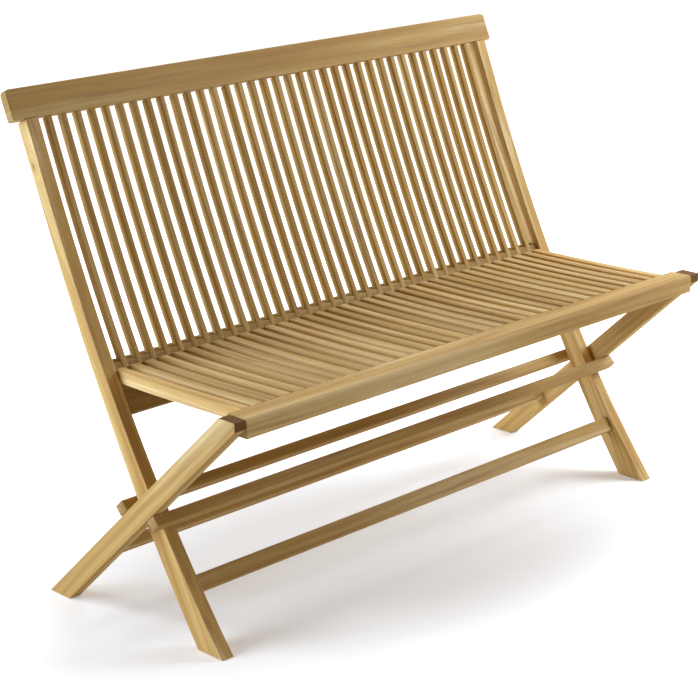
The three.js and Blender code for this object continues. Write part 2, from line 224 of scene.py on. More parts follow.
# %% Bands and streaks
def banded_wood(tree, long, pale, honey, brown, pink):
    bands = {"Vector": long, "Scale": BANDS, "Detail": 2.0, "Roughness": 0.5}
    bands = node(tree, "ShaderNodeTexNoise", bands).outputs["Fac"]
    stops = ((0.28, pale), (0.5, honey), (0.78, brown))
    banded = node(tree, "ShaderNodeValToRGB", {"Fac": bands}, stops=stops)
    # A new ramp has a black and a white stop of its own
    banded.color_ramp.elements.remove(banded.color_ramp.elements[0])
    banded.color_ramp.elements.remove(banded.color_ramp.elements[-1])
    streaks = {"Vector": long, "Scale": STREAKS, "Detail": 2.0, "Roughness": 0.5}
    streaks = node(tree, "ShaderNodeTexNoise", streaks).outputs["Fac"]
    share = {"Value": streaks, "From Min": 0.52, "From Max": 0.7, "To Min": 0.0, "To Max": 0.6}
    share = node(tree, "ShaderNodeMapRange", share).outputs[0]
    wood = {0: share, 6: banded.outputs[0], 7: colour(pink)}
    return node(tree, "ShaderNodeMix", wood, data_type="RGBA").outputs[2]


# %% How far a point lies from the pith
def ring_radius(tree, grain, board, long):
    waves = node(tree, "ShaderNodeTexNoise", {"Vector": long, "Scale": WAVES, "Detail": 1.0})
    waved = {0: waves.outputs["Color"], 1: (0, WAVE_HEIGHT, WAVE_HEIGHT), 2: grain}
    waved = node(tree, "ShaderNodeVectorMath", waved, operation="MULTIPLY_ADD").outputs[0]
    pith = {0: board, 1: PITH_SHIFT, 2: PITH_PLACE}
    pith = node(tree, "ShaderNodeVectorMath", pith, operation="MULTIPLY_ADD").outputs[0]
    flat = node(tree, "ShaderNodeVectorMath", {0: waved, 1: pith}, operation="ADD").outputs[0]
    flat = node(tree, "ShaderNodeVectorMath", {0: flat, 1: (0, 1, 1)}, operation="MULTIPLY").outputs[0]
    return node(tree, "ShaderNodeVectorMath", {0: flat}, operation="LENGTH").outputs["Value"]


# %% A small knot
KNOT_CORE, KNOT_EDGE = 1.5 * MM, 6.5 * MM  # the dark fades out between these two radii
KNOT_REACH, KNOT_SWELL = 14 * MM, 8 * MM  # how far out the rings bend, and by how much
KNOT_SHAPE = (0.5, 1, 1)  # twice as long as wide


def knotted(tree, grain, knot, radius, wood, dark):
    """Darkens the wood at a knot and lets the rings flow round it."""
    off = node(tree, "ShaderNodeVectorMath", {0: grain, 1: knot}, operation="SUBTRACT").outputs[0]
    off = node(tree, "ShaderNodeVectorMath", {0: off, 1: KNOT_SHAPE}, operation="MULTIPLY").outputs[0]
    off = node(tree, "ShaderNodeVectorMath", {0: off}, operation="LENGTH").outputs["Value"]
    swell = {"Value": off, "From Max": KNOT_REACH, "To Min": KNOT_SWELL, "To Max": 0.0}
    swell = node(tree, "ShaderNodeMapRange", swell).outputs[0]
    radius = node(tree, "ShaderNodeMath", {0: radius, 1: swell}, operation="ADD").outputs[0]
    heart = {"Value": off, "From Min": KNOT_CORE, "From Max": KNOT_EDGE, "To Min": 0.55, "To Max": 0.0}
    heart = node(tree, "ShaderNodeMapRange", heart).outputs[0]
    wood = node(tree, "ShaderNodeMix", {0: heart, 6: wood, 7: colour(dark)}, data_type="RGBA")
    return radius, wood.outputs[2]


# %% Fibres and the rows of pores
def fibres_and_pores(tree, long, radius):
    year = node(tree, "ShaderNodeMath", {0: radius, 1: RINGS}, operation="MULTIPLY").outputs[0]
    year = node(tree, "ShaderNodeMath", {0: year}, operation="FRACT").outputs[0]
    ring = {"Value": year, "From Max": 0.45, "To Min": 1.0, "To Max": 0.0}
    ring = node(tree, "ShaderNodeMapRange", ring).outputs[0]
    fibre = {"Vector": long, "Scale": FIBRES, "Detail": 2.0, "Roughness": 0.6}
    fibre = node(tree, "ShaderNodeTexNoise", fibre).outputs["Fac"]
    pores = node(tree, "ShaderNodeMath", {0: ring, 1: fibre}, operation="MULTIPLY").outputs[0]
    return fibre, pores


# %% Lines, tone, worn arrises with a painted highlight, and end grain
PORE_SHADE = 0.4  # how much of the line colour the rows of pores take
# The eased edges are paler: partly wear, partly a painted highlight along the arrises.
WEAR_AND_HIGHLIGHT_SHADE = 0.1  # how much of the pale colour the eased edges take


def lined_wood(tree, wood, fibre, pores, pale, line, end_colour):
    tone = node(tree, "ShaderNodeAttribute", attribute_name="tone").outputs["Fac"]
    edge = node(tree, "ShaderNodeAttribute", attribute_name="edge").outputs["Fac"]
    end = node(tree, "ShaderNodeAttribute", attribute_name="end").outputs["Fac"]
    depth = node(tree, "ShaderNodeMath", {0: pores, 1: PORE_SHADE}, operation="MULTIPLY").outputs[0]
    wood = node(tree, "ShaderNodeMix", {0: depth, 6: wood, 7: colour(line)}, data_type="RGBA").outputs[2]
    value = {"Value": fibre, "From Min": 0.3, "From Max": 0.7, "To Min": 0.94, "To Max": 1.05}
    value = node(tree, "ShaderNodeMapRange", value).outputs[0]
    value = node(tree, "ShaderNodeMath", {0: tone, 1: value}, operation="MULTIPLY").outputs[0]
    wood = node(tree, "ShaderNodeHueSaturation", {"Color": wood, "Value": value}).outputs[0]
    # Paler eased edges: wear and a painted highlight.
    wear_and_highlight = node(tree, "ShaderNodeMath", {0: edge, 1: WEAR_AND_HIGHLIGHT_SHADE}, operation="MULTIPLY").outputs[0]
    wood = node(tree, "ShaderNodeMix", {0: wear_and_highlight, 6: wood, 7: colour(pale)}, data_type="RGBA").outputs[2]
    sawn = {0: fibre, 6: colour(end_colour), 7: colour(line)}
    sawn = node(tree, "ShaderNodeMix", sawn, data_type="RGBA").outputs[2]
    return node(tree, "ShaderNodeMix", {0: end, 6: wood, 7: sawn}, data_type="RGBA").outputs[2]


# %% The teak material
def teak(name, pale, honey, brown, pink, line, end_colour, knot=None):
    material, tree = bare_material(name)
    grain, board, long = grain_place(tree)
    wood = banded_wood(tree, long, pale, honey, brown, pink)
    radius = ring_radius(tree, grain, board, long)
    if knot:
        radius, wood = knotted(tree, grain, knot, radius, wood, end_colour)
    fibre, pores = fibres_and_pores(tree, long, radius)
    wood = lined_wood(tree, wood, fibre, pores, pale, line, end_colour)
    rough = node(tree, "ShaderNodeMapRange", {"Value": fibre, "To Min": 0.64, "To Max": 0.82}).outputs[0]
    relief = node(tree, "ShaderNodeMath", {0: fibre, 1: pores}, operation="SUBTRACT").outputs[0]
    relief = {"Height": relief, "Strength": 0.3, "Distance": RELIEF}
    relief = node(tree, "ShaderNodeBump", relief).outputs[0]
    surface = {"Base Color": wood, "Roughness": rough, "Normal": relief, "IOR": 1.5}
    surface["Specular IOR Level"] = 0.12
    surface = node(tree, "ShaderNodeBsdfPrincipled", surface).outputs[0]
    node(tree, "ShaderNodeOutputMaterial", {"Surface": surface})
    return material


# %% Three lots of teak
FRAME_COLOURS = ("#e3c68c", "#cda763", "#b5894a", "#b2855a", "#8a6234", "#55381f")
FRAME_TEAK = teak("sanded_teak_frame", *FRAME_COLOURS)
SLAT_TEAK = teak("sanded_teak_slats", "#d8b97c", "#bf9a56", "#a67e40", "#9f7844", "#764c25", "#6b4a2c")
SEAT_TEAK = teak("sanded_teak_seat", "#dfc48e", "#c9a669", "#ae884c", "#a67f4c", "#83572a", "#6b4a2c")
print("teak nodes:", len(FRAME_TEAK.node_tree.nodes))

# %% [markdown]
# ## Steel pins
# The hidden pins and washers are plain turned steel: a metal, with fine marks of the tool that make
# it rougher in places. Anisotropy could draw the rings of turning, but no pin shows, so noise in the
# roughness is enough. They keep their solids' shapes.

# %% The steel material
STEEL_MARKS = 900.0  # to the metre: about 1 mm apart
STEEL_RELIEF = 0.2 * MM


def turned_steel(name):
    material, tree = bare_material(name)
    place = node(tree, "ShaderNodeTexCoord").outputs["Object"]
    marks = {"Vector": place, "Scale": STEEL_MARKS, "Detail": 3.0}
    marks = node(tree, "ShaderNodeTexNoise", marks).outputs["Fac"]
    rough = node(tree, "ShaderNodeMapRange", {"Value": marks, "To Min": 0.25, "To Max": 0.5}).outputs[0]
    bump = {"Height": marks, "Strength": 0.2, "Distance": STEEL_RELIEF}
    bump = node(tree, "ShaderNodeBump", bump).outputs[0]
    surface = {"Base Color": colour("#b9b8b3"), "Metallic": 1.0, "Roughness": rough, "Normal": bump}
    surface = node(tree, "ShaderNodeBsdfPrincipled", surface).outputs[0]
    node(tree, "ShaderNodeOutputMaterial", {"Surface": surface})
    return material


STEEL = turned_steel("turned_steel")
for name, cad_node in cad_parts.items():
    if "pin" in name or "washer" in name:
        cad_node.data.materials.clear()
        cad_node.data.materials.append(STEEL)
print("steel on", sum("pin" in n or "washer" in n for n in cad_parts), "nodes")

# %% [markdown]
# ## Boards
# A board is its side outline drawn out along the bench. A scaled cube would do for a straight board,
# but an outline also gives the curved ones. Every real edge is eased by a router or by sandpaper, which
# the Bevel modifier does here, on all edges that turn by more than 30 degrees. The board's own measures
# go into an attribute that the teak reads, so its grain stays in the wood when the bench folds.


# %% A closed mesh from an outline
def close_up(solid, rows):
    """Closes a mesh between two rows of points that are each other's outline, moved along."""
    solid.faces.new(rows[0])
    solid.faces.new(rows[1])
    for i in range(len(rows[0])):
        j = (i + 1) % len(rows[0])
        solid.faces.new((rows[0][i], rows[0][j], rows[1][j], rows[1][i]))
    bmesh.ops.recalc_face_normals(solid, faces=solid.faces)


def drawn_out(outline, x_low, x_high):
    """A closed mesh whose side view is the outline, y counted from the seat's front edge."""
    solid = bmesh.new()
    close_up(solid, [[solid.verts.new((x, y + FRONT, z)) for y, z in outline] for x in (x_low, x_high)])
    return solid


def settle(obj):
    """Turns an object with its modifiers into one with a plain mesh."""
    graph = bpy.context.evaluated_depsgraph_get()
    mesh = bpy.data.meshes.new_from_object(
        obj.evaluated_get(graph), preserve_all_data_layers=True, depsgraph=graph
    )
    obj.modifiers.clear()
    obj.data = mesh
    mesh.name = obj.name
    return obj


# %% The board's own measures
NUMBER_STEP = 0.137  # from one board's place in the tree to the next
END_FACING = 0.6  # past this share of its normal along the grain, a face is end grain


def grain_axes(along):
    """A board's own directions: along its length, across it and through it."""
    length = Vector(along).normalized()
    across = length.cross(Vector((1, 0, 0)))
    across = across.normalized() if across.length > 0.5 else Vector((0, 1, 0))
    return length, across, length.cross(across)


def mark(mesh, name, domain, values, kind="FLOAT"):
    layer = mesh.attributes.new(name, kind, domain)
    layer.data.foreach_set("vector" if kind == "FLOAT_VECTOR" else "value", values)


def mark_board(mesh, along, number, tone, end_shade):
    """Writes what the teak reads: the place in the board, its number, tone, eased edges and ends."""
    axes = grain_axes(along)
    own = [v.co.dot(axis) for v in mesh.vertices for axis in axes]
    mark(mesh, "grain", "POINT", own, "FLOAT_VECTOR")
    mark(mesh, "board", "POINT", [number * NUMBER_STEP] * len(mesh.vertices))
    mark(mesh, "tone", "POINT", [tone] * len(mesh.vertices))
    # The bevel has given its own faces the second material
    mark(mesh, "edge", "FACE", [float(p.material_index) for p in mesh.polygons])
    sawn = [end_shade if abs(p.normal.dot(axes[0])) > END_FACING else 0.0 for p in mesh.polygons]
    mark(mesh, "end", "FACE", sawn)


# %% A board with eased edges
SHARP_TURN = math.radians(30)
EASED_STEPS = 3


def eased_board(name, solid, along, eased, number, tone=1.0, end_shade=0.4):
    """A board with eased edges, its grain along the given direction."""
    mesh = bpy.data.meshes.new(name)
    solid.to_mesh(mesh)
    solid.free()
    obj = bpy.data.objects.new(name, mesh)
    bpy.context.scene.collection.objects.link(obj)
    # The second material only tells the eased faces from the others, until they are marked
    mesh.materials.append(FRAME_TEAK)
    mesh.materials.append(SEAT_TEAK)
    mesh.shade_smooth()
    bevel = obj.modifiers.new("eased", "BEVEL")
    bevel.width = eased
    bevel.segments = EASED_STEPS
    bevel.limit_method = "ANGLE"
    bevel.angle_limit = SHARP_TURN
    bevel.harden_normals = True
    bevel.material = 1
    mesh = settle(obj).data
    mark_board(mesh, along, number, tone, end_shade)
    mesh.polygons.foreach_set("material_index", [0] * len(mesh.polygons))
    mesh.materials.clear()
    return obj


def board(name, outline, x_low, x_high, along, **more):
    return eased_board(name, drawn_out(outline, x_low, x_high), along, **more)


# %% What every finished piece is given
SIDES = (("left", -1), ("right", 1))
ALONG_BENCH = (1, 0, 0)


def fit(obj, material, slot, body, *nodes):
    """Gives a finished piece its material, its body and the solids that it stands for."""
    obj.data.materials.clear()
    obj.data.materials.append(material)
    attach(obj, body)
    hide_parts(*nodes)


def sided(sign, inner, outer):
    """The two ends in X of a board on one side, the lower one first."""
    return sorted((sign * inner, sign * outer))


# %% [markdown]
# ## Stiles and legs
# A stile is sawn from a wide straight plank along a long S curve, so its grain runs straight and the
# edges cut through it. A swept curve would have one depth all along, and the stile narrows upwards, so
# each of its edges is drawn by its own rule. The left one has a small knot on its outer face. The legs
# are straight and plain, cut level at the top and at the floor.

# %% The stiles' outline
TOP_LEAN = math.radians(23.3)
TOP_SETBACK = 4.3 * MM
TOP_CORNER = (stile_front(STILE_HEIGHT) + TOP_SETBACK, STILE_HEIGHT)


def at_top_rail(d, h):
    return leaned(TOP_CORNER, TOP_LEAN, d, h)


def stile_outline(steps=44):
    heights = [STILE_HEIGHT * i / steps for i in range(steps - 1)]
    front = -TOP_SETBACK * math.cos(TOP_LEAN)
    rear = front + STILE_DEPTH[2] * math.cos(TOP_LEAN)
    rising = [(stile_rear(z), z) for z in heights]
    falling = [(stile_front(z), z) for z in reversed(heights)]
    return rising + [at_top_rail(rear, -GLUE_GAP), at_top_rail(front, -GLUE_GAP)] + falling


# %% Stiles
stile_grain = (0, stile_front(STILE_HEIGHT) - stile_front(0), STILE_HEIGHT)
knot_spot = Vector((-STILE_OUTER, 234.0 * MM, 757.2 * MM))
knot = [knot_spot.dot(axis) for axis in grain_axes(stile_grain)]
KNOTTY_TEAK = teak("sanded_teak_with_knot", *FRAME_COLOURS, knot=knot)
stile_teak = {"left": KNOTTY_TEAK, "right": FRAME_TEAK}
for number, (side, sign) in enumerate(SIDES, 1):
    low, high = sided(sign, STILE_INNER, STILE_OUTER)
    name = "stile_" + side
    look = {"eased": 2 * MM, "number": number, "tone": 1.04}
    stile = board("teak_" + name, stile_outline(), low, high, stile_grain, **look)
    fit(stile, stile_teak[side], "frame_teak", "back_frame", name)
print("stiles", len(stile.data.polygons), "faces each")

# %% Legs
leg_grain = (0, math.cos(LEG_ANGLE), -math.sin(LEG_ANGLE))
front_corner = on_leg((LEG_WIDTH * math.sin(LEG_ANGLE) - LEG_TOP) / math.cos(LEG_ANGLE), LEG_WIDTH)
leg_outline = [
    front_corner,
    (LEG_REACH - LEG_WIDTH / math.sin(LEG_ANGLE), 0),
    (LEG_REACH, 0),
    (LEG_TOP, SEAT_HEIGHT),
    (0, SEAT_HEIGHT),
]
for number, (side, sign) in enumerate(SIDES, 3):
    low, high = sided(sign, LEG_INNER, LEG_HALF)
    name = "rear_leg_" + side
    look = {"eased": 1.6 * MM, "number": number, "tone": 0.95, "end_shade": 1.0}
    leg = board("teak_" + name, leg_outline, low, high, leg_grain, **look)
    fit(leg, FRAME_TEAK, "frame_teak", "leg_frame", name)
print("legs", len(leg.data.polygons), "faces each")

# %% [markdown]
# ## Rails, bars and stretchers
# These run the length of the bench. The top rail leans with the back and has rounded upper corners; the
# two square bars lie before and behind the crossing and stop the fold both ways. A box could be turned
# into place, but here its corners are worked out on axes that lean, so that no object has to turn.


# %% A rounded corner as points of an outline
def rounded(corner, before, after, radius, steps=8):
    """Points of a round of that radius at a corner, between the two directions that meet there."""
    start = [c - radius * b for c, b in zip(corner, before)]
    centre = [s + radius * a for s, a in zip(start, after)]
    points = []
    for i in range(steps + 1):
        angle = math.pi / 2 * i / steps
        reach = [radius * (b * math.sin(angle) - a * math.cos(angle)) for b, a in zip(before, after)]
        points.append(tuple(c + r for c, r in zip(centre, reach)))
    return points


# %% Top rail, drawn from its face
RAIL_HEIGHT = 54.8 * MM
RAIL_DEPTH = 19 * MM
RAIL_HALF = 600 * MM
RAIL_ROUND = 9 * MM
face = [(-RAIL_HALF, 0), (RAIL_HALF, 0)]
face += rounded((RAIL_HALF, RAIL_HEIGHT), (0, 1), (-1, 0), RAIL_ROUND)
face += rounded((-RAIL_HALF, RAIL_HEIGHT), (-1, 0), (0, -1), RAIL_ROUND)
solid = bmesh.new()
rail_corner = (TOP_CORNER[0] + FRONT, TOP_CORNER[1])
rows = []
for depth in (0, RAIL_DEPTH):
    rows.append([solid.verts.new((x, *leaned(rail_corner, TOP_LEAN, depth, h))) for x, h in face])
close_up(solid, rows)
top_rail = eased_board("teak_top_rail", solid, ALONG_BENCH, eased=3 * MM, number=7, tone=0.92)
fit(top_rail, FRAME_TEAK, "frame_teak", "back_frame", "top_rail")
print("top rail", [round(v, 3) for v in top_rail.dimensions])

# %% [markdown]
# The seat's rear end rests on a ledge of the lower back rail, and the back slats stand in notches of it.
# The notches could be cut with a Boolean. Instead the rail's wall lies just behind the slats' fronts, so
# each slat sinks into the rail and its front runs down to the ledge. It is simpler and looks nearly the
# same, but the small dark recesses beside the slats' feet are lost.

# %% Where the lower back rail, the slats and the seat meet
LOWER_BOTTOM = SEAT_HEIGHT - 76 * MM
LOWER_LEAN = stile_lean((LOWER_BOTTOM + SEAT_HEIGHT) / 2)
SLAT_SETBACK = 7.5 * MM  # of the back slats behind the stiles' front edges
SLAT_DEPTH = 14 * MM
SEAT_DROP = 1 * MM  # of the front rail's top, from its nose to its rear edge
SEAT_FALL = 7 * MM  # of the slats' tops, from there to their rear ends
SEAT_SLAT_DEPTH = 22.4 * MM
SEAT_LOW = SEAT_HEIGHT - SEAT_DROP - SEAT_FALL
SEAT_BOTTOM = SEAT_LOW - SEAT_SLAT_DEPTH
SEAT_CLEARANCE = 0.4 * MM  # between the seat's underside and the ledge
LOWER_INSET = 1 * MM  # of the lower rail's front behind the stiles' front edges
LOWER_DEPTH = 25 * MM
SLATS_PROUD = 0.6 * MM  # the slats' fronts stand before the rail's wall by this much


def at_lower_rail(d, z):
    """A point d behind the stiles' front and z above the floor."""
    h = (z - LOWER_BOTTOM + d * math.sin(LOWER_LEAN)) / math.cos(LOWER_LEAN)
    return leaned((stile_front(LOWER_BOTTOM), LOWER_BOTTOM), LOWER_LEAN, d, h)


ledge = at_lower_rail(LOWER_INSET, SEAT_BOTTOM - SEAT_CLEARANCE)
print("lower rail's ledge at", round(ledge[1], 4), "m")


# %% Lower back rail
def square_to_rail(d, z):
    """A point d behind the stiles' front, on the line that runs square to the rail from the inset."""
    return at_lower_rail(d, z - (d - LOWER_INSET) * math.sin(LOWER_LEAN))


lip = SLAT_SETBACK * math.cos(LOWER_LEAN)
wall = lip + SLATS_PROUD
rail_rear = LOWER_INSET + LOWER_DEPTH
under_rail = LOWER_BOTTOM - LOWER_INSET * math.sin(LOWER_LEAN)
outline = [
    square_to_rail(LOWER_INSET, under_rail),
    square_to_rail(rail_rear, under_rail),
    at_lower_rail(rail_rear, SEAT_HEIGHT),
    at_lower_rail(wall, SEAT_HEIGHT),
    square_to_rail(wall, ledge[1]),
    ledge,
]
inner = STILE_INNER - GLUE_GAP
# Its darker tone is partly the board's own and partly painted shade, for the shade under the seat and
# between the slats' feet.
look = {"eased": 1.2 * MM, "number": 8, "tone": 0.7}
lower_rail = board("teak_lower_back_rail", outline, -inner, inner, ALONG_BENCH, **look)
fit(lower_rail, FRAME_TEAK, "frame_teak", "back_frame", "lower_back_rail")
print("lower rail", [round(v, 3) for v in lower_rail.dimensions])

# %% Outlines of the stop bars
BAR_WIDTH, BAR_DEPTH, BAR_GAP = 23 * MM, 21 * MM, 0.8 * MM
under = LEG_WIDTH + GLUE_GAP
before = leg_meets(under, stile_front) - BAR_GAP
behind = leg_meets(0, stile_rear) + BAR_GAP
front_bar = rectangle(on_leg, before - BAR_WIDTH, before, under + BAR_DEPTH, under)
rear_bar = rectangle(on_leg, behind, behind + BAR_WIDTH, -GLUE_GAP, -GLUE_GAP - BAR_DEPTH)
print("bars lie", round(before, 3), "and", round(behind, 3), "m down the legs")

# %% Outlines of the stretchers
LEG_STRETCHER_WIDTH, LEG_STRETCHER_DEPTH = 24 * MM, 20 * MM
LEG_STRETCHER_DROP = 4.3 * MM  # of its lower face under the middle of the leg
LEG_STRETCHER_SHARE = 0.453  # of the way from the crossing to the floor
FRONT_STRETCHER_HEIGHT, FRONT_STRETCHER_DEPTH = 29.5 * MM, 20 * MM
FRONT_STRETCHER_INSET = 8 * MM
FRONT_STRETCHER_SHARE = 0.2187  # of the seat height
cross = (leg_meets(LEG_WIDTH / 2, stile_front) + leg_meets(LEG_WIDTH / 2, stile_rear)) / 2
down = cross + (LEG_RUN - cross) * LEG_STRETCHER_SHARE
low = LEG_WIDTH / 2 + LEG_STRETCHER_DROP
leg_stretcher = rectangle(on_leg, down, down + LEG_STRETCHER_WIDTH, low, low - LEG_STRETCHER_DEPTH)
foot_height = SEAT_HEIGHT * FRONT_STRETCHER_SHARE
foot_lean = stile_lean(foot_height)


def at_foot(d, h):
    return leaned((stile_front(foot_height), foot_height), foot_lean, d, h)


stretcher_rear = FRONT_STRETCHER_INSET + FRONT_STRETCHER_DEPTH
front_stretcher = rectangle(at_foot, FRONT_STRETCHER_INSET, stretcher_rear, 0, FRONT_STRETCHER_HEIGHT)
print("stretchers", round(foot_height, 3), "m up the stiles and", round(down, 3), "m down the legs")

# %% Stop bars and stretchers
BARS = (
    ("stop_bar_front", front_bar, LEG_HALF, "leg_frame", 2.6 * MM, 0.9),
    ("stop_bar_rear", rear_bar, LEG_HALF, "leg_frame", 2.6 * MM, 0.88),
    ("leg_stretcher", leg_stretcher, LEG_INNER - GLUE_GAP, "leg_frame", 2.2 * MM, 0.9),
    ("front_stretcher", front_stretcher, STILE_INNER - GLUE_GAP, "back_frame", 2 * MM, 0.85),
)
for number, (name, outline, half, body, eased, tone) in enumerate(BARS, 9):
    look = {"eased": eased, "number": number, "tone": tone}
    made = board("teak_" + name, outline, -half, half, ALONG_BENCH, **look)
    fit(made, FRAME_TEAK, "frame_teak", body, name)
    print(name, [round(v, 3) for v in made.dimensions])

# %% [markdown]
# ## The seat's frame
# A wide front rail with a rounded nose lies between the legs' tops. The side rails are shaped like the
# slats, and a thin batten let into their undersides holds the rear ends together. The side rails could
# be two more slats of the row, but they are narrower than its slats, so they are boards of the same
# side view.

# %% Front rail
RAIL_WIDTH = 47 * MM
FRONT_RAIL_HEIGHT = 32.8 * MM
NOSE_ROUND = 6 * MM
rail_bottom = SEAT_HEIGHT - FRONT_RAIL_HEIGHT
outline = [(0, rail_bottom), (RAIL_WIDTH, rail_bottom), (RAIL_WIDTH, SEAT_HEIGHT - SEAT_DROP)]
outline += rounded((0, SEAT_HEIGHT), (-1, 0), (0, -1), NOSE_ROUND)
half = LEG_INNER - GLUE_GAP
look = {"eased": 1.2 * MM, "number": 14, "tone": 1.15}
front_rail = board("teak_seat_front_rail", outline, -half, half, ALONG_BENCH, **look)
fit(front_rail, SEAT_TEAK, "seat_teak", "seat", "seat_front_rail")
print("seat's front rail", [round(v, 3) for v in front_rail.dimensions])

# %% The seat's side view
REAR_GAP = 2 * MM  # from the seat's rear end to the back slats
SEAT_FLAT_SHARE = 0.93  # where along the slats the top has become level
SEAT_FRONT = RAIL_WIDTH + GLUE_GAP
SEAT_REAR = stile_front(SEAT_LOW) + SLAT_SETBACK - REAR_GAP
SEAT_RUN = (SEAT_REAR - RAIL_WIDTH) * SEAT_FLAT_SHARE
REAR_SLOPE = math.tan(stile_lean(SEAT_BOTTOM + SEAT_SLAT_DEPTH / 2))


def seat_top(y):
    t = min(1, (y - RAIL_WIDTH) / SEAT_RUN)
    return SEAT_HEIGHT - SEAT_DROP - SEAT_FALL * (2 * t - t * t)


def seat_side(steps=16):
    places = [SEAT_FRONT + (SEAT_RUN - SEAT_FRONT + RAIL_WIDTH) * i / steps for i in range(steps + 1)]
    bottom = [(y, seat_top(y) - SEAT_SLAT_DEPTH) for y in places[:-1]]
    rear = [(SEAT_REAR - SEAT_SLAT_DEPTH * REAR_SLOPE, SEAT_BOTTOM), (SEAT_REAR, seat_top(SEAT_REAR))]
    return bottom + rear + [(y, seat_top(y)) for y in reversed(places)]


print("seat runs back to", round(SEAT_REAR, 4), "m")

# %% Side rails and batten
SIDE_RAIL_WIDTH = 18.5 * MM
BATTEN_BELOW = 0.3 * MM  # the batten shows under the slats by this much
for number, (side, sign) in enumerate(SIDES, 21):
    low, high = sided(sign, SEAT_HALF - SIDE_RAIL_WIDTH, SEAT_HALF)
    name = "seat_side_rail_" + side
    look = {"eased": 1.2 * MM, "number": number, "tone": 1.3}
    made = board("teak_" + name, seat_side(), low, high, (0, 1, 0), **look)
    fit(made, SEAT_TEAK, "seat_teak", "seat", name)

near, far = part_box("seat_rear_batten")
low, high = near.z - BATTEN_BELOW, far.z
outline = rectangle(lambda y, z: (y, z), near.y - FRONT, far.y - FRONT, low, high)
made = board("teak_seat_rear_batten", outline, near.x, far.x, ALONG_BENCH, eased=0.8 * MM, number=18)
fit(made, SEAT_TEAK, "seat_teak", "seat", "seat_rear_batten")
print("batten", [round(v, 3) for v in made.dimensions])

# %% [markdown]
# ## Slats
# Thirty-five slats fill the back and thirty-four the seat. They are one thing repeated, so a tree of
# Geometry Nodes makes them: a rounded rectangle swept along a straight line, its ends cut at a slope,
# the whole bent by a polynomial, then set out in a row. An Array modifier could repeat one slat, but
# then all would have the same grain. The tree stores the same attributes that the boards have, taken
# before the slat is bent, so the grain follows the bend.

# %% What the slats' tree is told
SLAT_INPUTS = {
    "Count": "NodeSocketInt",
    "Pitch": "NodeSocketFloat",
    "Width": "NodeSocketFloat",
    "Depth": "NodeSocketFloat",
    "Start": "NodeSocketFloat",
    "End": "NodeSocketFloat",
    "Start Slope": "NodeSocketFloat",
    "End Slope": "NodeSocketFloat",
    "Steps": "NodeSocketInt",
    "Edge Radius": "NodeSocketFloat",
    "Bend 0": "NodeSocketFloat",
    "Bend 1": "NodeSocketFloat",
    "Bend 2": "NodeSocketFloat",
    "Bend 3": "NodeSocketFloat",
    "Turn": "NodeSocketVector",
    "Seed": "NodeSocketInt",
    "Material": "NodeSocketMaterial",
}
print("a slat row takes", len(SLAT_INPUTS), "inputs")


# %% One straight slat
def straight_slat(tree, given):
    low = node(tree, "ShaderNodeCombineXYZ", {"Z": given["Start"]}).outputs[0]
    high = node(tree, "ShaderNodeCombineXYZ", {"Z": given["End"]}).outputs[0]
    path = node(tree, "GeometryNodeCurvePrimitiveLine", {"Start": low, "End": high}).outputs[0]
    path = node(tree, "GeometryNodeResampleCurve", {"Curve": path, "Count": given["Steps"]}).outputs[0]
    section = {"Width": given["Width"], "Height": given["Depth"]}
    section = node(tree, "GeometryNodeCurvePrimitiveQuadrilateral", section).outputs[0]
    section = {"Curve": section, "Radius": given["Edge Radius"], "Count": 3}
    section = node(tree, "GeometryNodeFilletCurve", section, mode="POLY").outputs[0]
    slat = {"Curve": path, "Profile Curve": section, "Fill Caps": True}
    return node(tree, "GeometryNodeCurveToMesh", slat).outputs[0]


# %% What the teak reads, taken while the slat is straight
FLAT_FACING = 0.99  # under this share of its normal on one axis, a face is part of an eased edge
SLAT_END_SHADE = 0.6


def marked_slat(tree, slat, xyz):
    own = node(tree, "ShaderNodeCombineXYZ", {"X": xyz["Z"], "Y": xyz["X"], "Z": xyz["Y"]})
    out = node(tree, "GeometryNodeInputNormal").outputs[0]
    facing = node(tree, "ShaderNodeVectorMath", {0: out}, operation="ABSOLUTE").outputs[0]
    facing = node(tree, "ShaderNodeSeparateXYZ", {0: facing}).outputs
    flat = node(tree, "ShaderNodeMath", {0: facing["X"], 1: facing["Y"]}, operation="MAXIMUM").outputs[0]
    flat = node(tree, "ShaderNodeMath", {0: flat, 1: facing["Z"]}, operation="MAXIMUM").outputs[0]
    eased = node(tree, "ShaderNodeMath", {0: flat, 1: FLAT_FACING}, operation="LESS_THAN")
    sawn = node(tree, "ShaderNodeMath", {0: facing["Z"], 1: 0.5}, operation="GREATER_THAN").outputs[0]
    sawn = node(tree, "ShaderNodeMath", {0: sawn, 1: SLAT_END_SHADE}, operation="MULTIPLY")
    for name, domain, kind, value in (
        ("grain", "POINT", "FLOAT_VECTOR", own),
        ("edge", "FACE", "FLOAT", eased),
        ("end", "FACE", "FLOAT", sawn),
    ):
        stored = {"Geometry": slat, "Name": name, "Value": value.outputs[0]}
        stored = node(tree, "GeometryNodeStoreNamedAttribute", stored, domain=domain, data_type=kind)
        slat = stored.outputs[0]
    return slat


